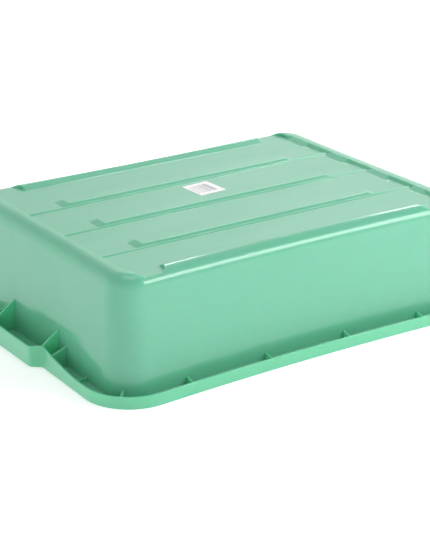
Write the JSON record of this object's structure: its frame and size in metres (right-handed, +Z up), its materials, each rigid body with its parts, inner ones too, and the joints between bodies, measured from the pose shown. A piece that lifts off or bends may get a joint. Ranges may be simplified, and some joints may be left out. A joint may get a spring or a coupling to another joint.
{
  "type": "toddler sandbox with cover",
  "caption": "Low rectangular moulded sandbox tub, mouth down over its drop-in cover, with ribbed base, turned-up lip, gussets and a grip at each short end.",
  "frame": {"origin": "middle of the mouth, on the surface that the rim and the cover stand on", "axes": "+X along the length, +Y along the width, +Z up, from the mouth to the base of the tub, which lies upside down"},
  "size_m": [0.884, 0.6572, 0.216],
  "materials": {
    "tub_plastic": "semi-gloss moulded polypropylene, mint green",
    "cover_plastic": "semi-gloss moulded polypropylene, mint green",
    "sticker_paper": null
  },
  "bodies": {
    "cover": {"cover": "cover_plastic"},
    "tub": {"tub": "tub_plastic", "sticker": "sticker_paper"}
  },
  "joints": [
    {"name": "cover_lift", "type": "slide", "parent": "cover", "child": "tub", "axis": [0, 0, 1], "range_m": [0, 0.35]}
  ]
}
